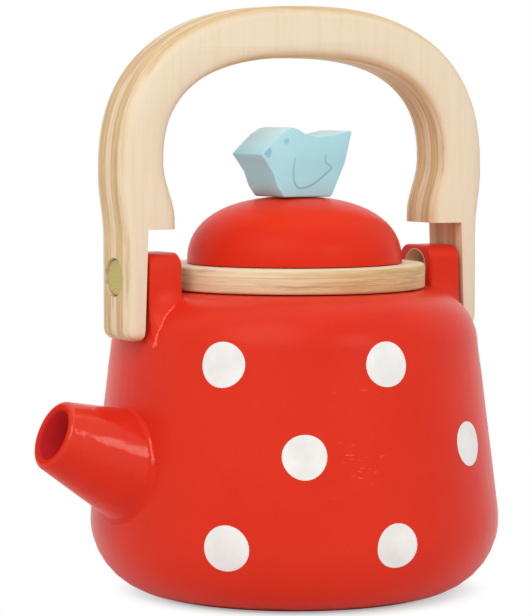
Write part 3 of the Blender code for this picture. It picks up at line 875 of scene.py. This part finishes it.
def make_bead(name, points, normals, material, width=BEAD, drop=0.0, ripple=1.0):
    """A thin, uneven bead of paint along a line of points, with a drop near its first end."""
    line = [Vector(p) for p in smooth_run([tuple(p) for p in points], per_span=5)]
    faces = [Vector(n).normalized() for n in smooth_run([tuple(n) for n in normals], per_span=5)]
    runs = run_lengths(line)
    rows = []
    for i, (point, normal, run) in enumerate(zip(line, faces, runs)):
        along = line[min(i + 1, len(line) - 1)] - line[max(i - 1, 0)]
        across = along.cross(normal).normalized()
        end = min(1.0, min(run, runs[-1] - run) / BEAD_END)
        near_drop = math.exp(-(((run - DROP_AT) / DROP_LONG) ** 2))
        wobble = sum(share * math.sin(run / long + phase) for share, long, phase in BEAD_RIPPLES)
        uneven = BEAD_EVEN + ripple * wobble * (1 - near_drop) + drop * near_drop
        size = width * math.sqrt(end * (2 - end)) * uneven
        middle = point + across * ripple * BEAD_WANDER * math.sin(run / BEAD_WANDER_LONG)
        row = []
        for k in range(BEAD_SIDES + 1):
            turn = math.pi * (0.5 + BEAD_WRAP * (k / BEAD_SIDES - 0.5))
            rise = normal * BEAD_TALL * size * math.sin(turn)
            row.append(middle + across * size * math.cos(turn) + rise)
        rows.append(row)
    bead = grid_mesh(name, rows, material, wrap=False)
    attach(bead, "kettle")


def make_lug_beads(material):
    """The line of paint along the seam of each flare, on both sides of the lugs."""
    for end, side in (("front", -1), ("rear", 1)):
        for name, face in (("near", 1), ("far", -1)):
            points, normals = [], []
            for x, y, _, _, width, _ in lug_path(side)[:BEAD_STEPS]:
                y = face * (y - width)
                height = shoulder_height(x, y)
                slope_x = (height - shoulder_height(x - SLOPE_STEP, y)) / SLOPE_STEP
                slope_y = (height - shoulder_height(x, y - SLOPE_STEP)) / SLOPE_STEP
                points.append(Vector((x, y, height)))
                normals.append(Vector((-slope_x, -slope_y, 1.0)).normalized())
            bead = f"{end}_lug_bead_{name}"
            if face > 0:
                make_bead(bead, points, normals, material, drop=DROP)
            else:
                far = slice(FAR_BEAD_START, None)
                make_bead(bead, points[far], normals[far], material, FAR_BEAD)


# The fillet at the spout's root, and the beads' angles round the spout from its top, in degrees
SPOUT_FILLET = 1.0 * MM
SPOUT_FILLET_LONG = 1.6  # length along the spout over width on the pot
FILLET_WAVES = ((0.10, 3, 0.7), (0.06, 7, 0.0))  # share of the width, waves round it, phase
FILLET_LIFT = 0.04 * MM
FILLET_SINK = 0.08 * MM
FILLET_SPOKES = 72
FILLET_RINGS = 8
MEETING_STEP = 0.05 * MM
ROOT_BEAD_TURNS = (-86.0, -58.0)
ROOT_BEAD_STEPS = 20
ROOT_BEAD_BACK = 0.5  # shares of the fillet by which it lies back along the spout
ROOT_BEAD_OUT = 0.3  # and out from it
ROOT_BEAD_RIPPLE = 0.5
LIP_BEAD_TURNS = (-93.0, -66.0)
LIP_BEAD_STEPS = 8
LIP_BEAD_RIPPLE = 0.2


def spout_out(turn):
    """The direction out from the spout's axis at an angle from its top."""
    return SPOUT_UP * math.cos(turn) + Vector((0.0, math.sin(turn), 0.0))


def spout_outs(turns, steps):
    """Directions out from the spout's axis, in even steps between two angles in degrees."""
    first, last = turns
    return [spout_out(math.radians(first + (last - first) * i / steps)) for i in range(steps + 1)]


def spout_meeting(out):
    """Where the spout's side in direction out reaches the pot, and the way back along it."""
    start = SPOUT_LIP * (1 - math.sin(SPOUT_HALF_ANGLE))
    radius = SPOUT_MOUTH_RADIUS - SPOUT_LIP * (1 - math.cos(SPOUT_HALF_ANGLE))
    end_radius = SPOUT_MOUTH_RADIUS + SPOUT_CONE_END * math.tan(SPOUT_HALF_ANGLE)
    slope = (end_radius - radius) / (SPOUT_CONE_END - start)
    depth = start
    while depth < SPOUT_CONE_END:
        point = SPOUT_MOUTH + SPOUT_AXIS * depth + out * (radius + (depth - start) * slope)
        if math.hypot(point.x, point.y) <= pot_radius_at(point.z):
            break
        depth += MEETING_STEP
    return point, (-SPOUT_AXIS - out * slope).normalized()


def make_spout_fillet(material):
    """The small fillet of filler and paint where the spout meets the pot."""
    rows = []
    for s in range(FILLET_SPOKES + 1):
        turn = 2 * math.pi * s / FILLET_SPOKES
        out = spout_out(turn)
        point, back = spout_meeting(out)
        pot_out = Vector((point.x, point.y, 0.0)).normalized()
        spread = (out - pot_out * out.dot(pot_out)).normalized()
        waves = sum(share * math.sin(count * turn + phase) for share, count, phase in FILLET_WAVES)
        width = SPOUT_FILLET * (1 + waves)
        row = []
        for k in range(FILLET_RINGS + 1):
            t = math.pi / 2 * k / FILLET_RINGS
            q = point + back * SPOUT_FILLET_LONG * width * (1 - math.sin(t))
            q += spread * width * (1 - math.cos(t))
            if k == 0:
                q -= out * FILLET_LIFT
            last = k == FILLET_RINGS
            keep = pot_radius_at(q.z) + (-FILLET_SINK if last else FILLET_LIFT)
            flat = math.hypot(q.x, q.y)
            if flat < keep or last:
                q = Vector((q.x * keep / flat, q.y * keep / flat, q.z))
            row.append(q)
        rows.append(row)
    fillet = grid_mesh("spout_fillet", rows, material, wrap=False)
    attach(fillet, "kettle")


def make_spout_bead(material):
    """The bead of paint at the spout's root, on its near side."""
    points, normals = [], []
    for out in spout_outs(ROOT_BEAD_TURNS, ROOT_BEAD_STEPS):
        point, back = spout_meeting(out)
        points.append(point + (back * ROOT_BEAD_BACK + out * ROOT_BEAD_OUT) * SPOUT_FILLET)
        normals.append((out + back).normalized())
    make_bead("spout_root_bead", points, normals, material, drop=DROP, ripple=ROOT_BEAD_RIPPLE)


def make_lip_bead(material):
    """A short line of paint on the rounding of the spout's lip."""
    middle = SPOUT_MOUTH + SPOUT_AXIS * SPOUT_LIP
    points, normals = [], []
    for out in spout_outs(LIP_BEAD_TURNS, LIP_BEAD_STEPS):
        normal = (out - SPOUT_AXIS).normalized()
        points.append(middle + out * (SPOUT_MOUTH_RADIUS - SPOUT_LIP) + normal * SPOUT_LIP)
        normals.append(normal)
    make_bead("spout_lip_bead", points, normals, material, LIP_BEAD, ripple=LIP_BEAD_RIPPLE)


# The bird's print, on both faces: (x, height above the bird's base), millimetres
INK_LIFT = 0.04 * MM
INK_Y = BIRD_HIGH.y + INK_LIFT
EYE_AT = (-7.9, 16.2)
EYE_RADIUS = 1.0
EYE_STEPS = 24
EYE_FADE = (0.45, 1.15)  # shares of its radius
EYE_BLUR = 0.4 * MM
BEAK_PATCH = ((-15.4, 12.6), (-13.4, 14.5), (-12.7, 13.3), (-13.7, 11.4))
WING_LINE = (
    (-4.9, 11.6),
    (-5.5, 7.6),
    (-5.3, 4.7),
    (-4.5, 3.3),
    (-3.1, 2.6),
    (-0.7, 3.0),
    (1.7, 4.1),
    (4.0, 5.7),
    (6.0, 7.2),
    (7.3, 8.5),
    (6.4, 9.3),
    (5.3, 10.1),
    (5.3, 12.2),
)
WING_HALF_WIDTH = 0.3
WING_TIP = 0.35  # share of its width at its ends
WING_TAPER = 5  # rise of that share over the line's length


def ink_shape(name, outline, base, face, material):
    """A flat printed shape just proud of one face of the bird."""
    mesh = bpy.data.meshes.new(name)
    points = [(x * MM, face * INK_Y, base + z * MM) for x, z in outline]
    order = list(range(len(points)))
    mesh.from_pydata(points, [], [order if face < 0 else order[::-1]])
    mesh.materials.append(material)
    obj = bpy.data.objects.new(name, mesh)
    bpy.context.scene.collection.objects.link(obj)
    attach(obj, "lid")


def ink_line(name, points, base, face, material):
    """A printed line that thins towards its ends."""
    run = smooth_run(points)
    rows = []
    for i, (x, z) in enumerate(run):
        before, after = run[max(i - 1, 0)], run[min(i + 1, len(run) - 1)]
        along = Vector((after[0] - before[0], after[1] - before[1])).normalized()
        share = i / (len(run) - 1)
        half = WING_HALF_WIDTH * min(1.0, WING_TIP + WING_TAPER * min(share, 1 - share))
        y = face * INK_Y
        left = Vector(((x - along.y * half) * MM, y, base + (z + along.x * half) * MM))
        right = Vector(((x + along.y * half) * MM, y, base + (z - along.x * half) * MM))
        rows.append([left, right] if face < 0 else [right, left])
    obj = grid_mesh(name, rows, material, wrap=False)
    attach(obj, "lid")


def eye_ink(name):
    """Ink that fades into the bird's paint from the middle of the eye outwards."""
    finish = Finish(name)
    middle = (EYE_AT[0] * MM, BIRD_LOW.z + EYE_AT[1] * MM)
    cloud = finish.noise(finish.coords, EYE_CLOUD)
    reach = finish.distance(finish.x, finish.z, middle)
    reach = finish.math("MULTIPLY_ADD", cloud, EYE_BLUR, reach)
    share = finish.ramp(reach, *(fade * EYE_RADIUS * MM for fade in EYE_FADE))
    colour = finish.mix(share, PRINT_FAINT, SKY)
    roughness = finish.rough(cloud, least=0.4, spread=0.15)
    return finish.done(colour, roughness, finish.bump(cloud, 0.1, INK_DEPTH))


def make_bird_print():
    """The bird's eye, beak and wing, printed on both faces."""
    base = BIRD_LOW.z
    ink = print_ink("bird_ink", PRINT, INK_CLOUD)
    soft = print_ink("bird_beak_ink", PRINT_SOFT, INK_CLOUD)
    faint = eye_ink("bird_eye_ink")
    eye = arc(EYE_AT, EYE_RADIUS, 0.0, 2 * math.pi, EYE_STEPS)[:-1]
    for side, face in (("near", -1), ("far", 1)):
        ink_shape(f"bird_eye_{side}", eye, base, face, faint)
        ink_shape(f"bird_beak_{side}", BEAK_PATCH, base, face, soft)
        ink_line(f"bird_wing_{side}", WING_LINE, base, face, ink)


def make_camera():
    """The camera at the photograph's viewing angle."""
    data = bpy.data.cameras.new("camera")
    data.sensor_width = SENSOR_MM
    data.lens = SENSOR_MM * FOCAL_PIXELS / IMAGE_HEIGHT
    data.clip_start = CLIP_START
    camera = bpy.data.objects.new("camera", data)
    camera.location = CAMERA_AT
    camera.rotation_euler = (math.pi / 2 + CAMERA_PITCH, 0.0, CAMERA_HEADING)
    bpy.context.scene.collection.objects.link(camera)
    bpy.context.scene.camera = camera


def seen_share(tree):
    """1 for rays from the camera, a reflection or glass, 0 for light."""
    rays = tree.nodes.new("ShaderNodeLightPath").outputs
    total = rays["Is Camera Ray"]
    for key in ("Is Glossy Ray", "Is Transmission Ray"):
        top = tree.nodes.new("ShaderNodeMath")
        top.operation = "MAXIMUM"
        tree.links.new(total, top.inputs[0])
        tree.links.new(rays[key], top.inputs[1])
        total = top.outputs[0]
    return total


# Strength of the world's white as light, and as it is seen
WORLD_LIGHT = 0.605
WORLD_SEEN = 1.0


def make_world():
    """A white studio, dimmer as light than as it is seen."""
    world = bpy.data.worlds.new("studio")
    bpy.context.scene.world = world
    world.use_nodes = True
    tree = world.node_tree
    background = tree.nodes["Background"]
    background.inputs["Color"].default_value = (1.0, 1.0, 1.0, 1.0)
    strength = tree.nodes.new("ShaderNodeMapRange")
    strength.inputs[3].default_value = WORLD_LIGHT
    strength.inputs[4].default_value = WORLD_SEEN
    tree.links.new(seen_share(tree), strength.inputs[0])
    tree.links.new(strength.outputs[0], background.inputs["Strength"])


# The floor, and how much of its shadow shows: at the kettle's foot, and in a softer ring round it
FLOOR_SIZE = 12.0
FLOOR_Z = -0.2 * MM
FOOT_SHADE = 0.6
FOOT_NEAR = 0.041
FOOT_FAR = 0.046
RING_SHADE = 0.44
RING_NEAR = 0.043
RING_FAR = 0.0565
RING_AT = (0.0028, 0.0018)


def make_floor():
    """A white floor that takes the kettle's shadow and is plain white further off."""
    bpy.ops.mesh.primitive_plane_add(size=FLOOR_SIZE, location=(0.0, 0.0, FLOOR_Z))
    floor = bpy.context.object
    floor.name = "floor"
    finish = Finish("floor_white")
    tree = finish.tree
    speckle = finish.noise(finish.coords, FLOOR_SPECKLE)
    colour = finish.mix(speckle, FLOOR_LIGHT, FLOOR_DARK)
    finish.done(colour, 0.9, finish.bump(speckle, 0.02, FLOOR_DEPTH), specular=0.1)
    foot = finish.distance(finish.x, finish.y)
    foot = finish.ramp(foot, FOOT_NEAR, FOOT_FAR, FOOT_SHADE, 0.0)
    ring = finish.distance(finish.x, finish.y, RING_AT)
    ring = finish.ramp(ring, RING_NEAR, RING_FAR, RING_SHADE, 0.0)
    shade = finish.math("MAXIMUM", foot, ring)
    white = finish.math("MULTIPLY", seen_share(tree), finish.math("SUBTRACT", 1.0, shade))
    plain = tree.nodes.new("ShaderNodeEmission")
    blend = tree.nodes.new("ShaderNodeMixShader")
    tree.links.new(white, blend.inputs[0])
    tree.links.new(finish.shader.outputs[0], blend.inputs[1])
    tree.links.new(plain.outputs[0], blend.inputs[2])
    tree.links.new(blend.outputs[0], tree.nodes["Material Output"].inputs["Surface"])
    floor.data.materials.append(finish.material)


# Soft studio lamps, one high on each side, one above and one low in front: name, place, target,
# size and watts
KETTLE_MIDDLE = (0.0, 0.0, 0.08)
LAMPS = (
    ("key", (-0.85, -0.65, 1.0), KETTLE_MIDDLE, 1.1, 6.6),
    ("fill", (0.95, -0.65, 0.75), KETTLE_MIDDLE, 1.1, 0.35),
    ("top", (0.0, 0.1, 1.4), KETTLE_MIDDLE, 1.4, 2.9),
    ("front", (0.16, -0.87, 0.5), SPOUT_MOUTH, 0.3, 1.1),
)


def make_lights():
    """Hang each lamp and turn it to its target."""
    for name, location, target, size, watts in LAMPS:
        data = bpy.data.lights.new(name, "AREA")
        data.shape = "DISK"
        data.size = size
        data.energy = watts
        lamp = bpy.data.objects.new(name, data)
        lamp.location = location
        direction = Vector(target) - Vector(location)
        lamp.rotation_euler = direction.to_track_quat("-Z", "Y").to_euler()
        bpy.context.scene.collection.objects.link(lamp)


dress_nodes()
make_dots()
make_lug_flares(red_paint("filler_paint"))
make_spout_fillet(red_paint("fillet_paint", satin=0.4, gloss=0.12))
# The beads get a paler, glossy coat, a painted highlight along the seams and the lip.
bead_painted_highlight = red_paint("bead_painted_highlight", coat=(RED_PALE_MARKS_AND_HIGHLIGHT, RED), satin=0.06, gloss=0.5)
make_lug_beads(bead_painted_highlight)
make_spout_bead(bead_painted_highlight)
make_lip_bead(bead_painted_highlight)
make_bird_print()
make_camera()
make_world()
make_floor()
make_lights()
bpy.context.scene.view_settings.view_transform = "Standard"
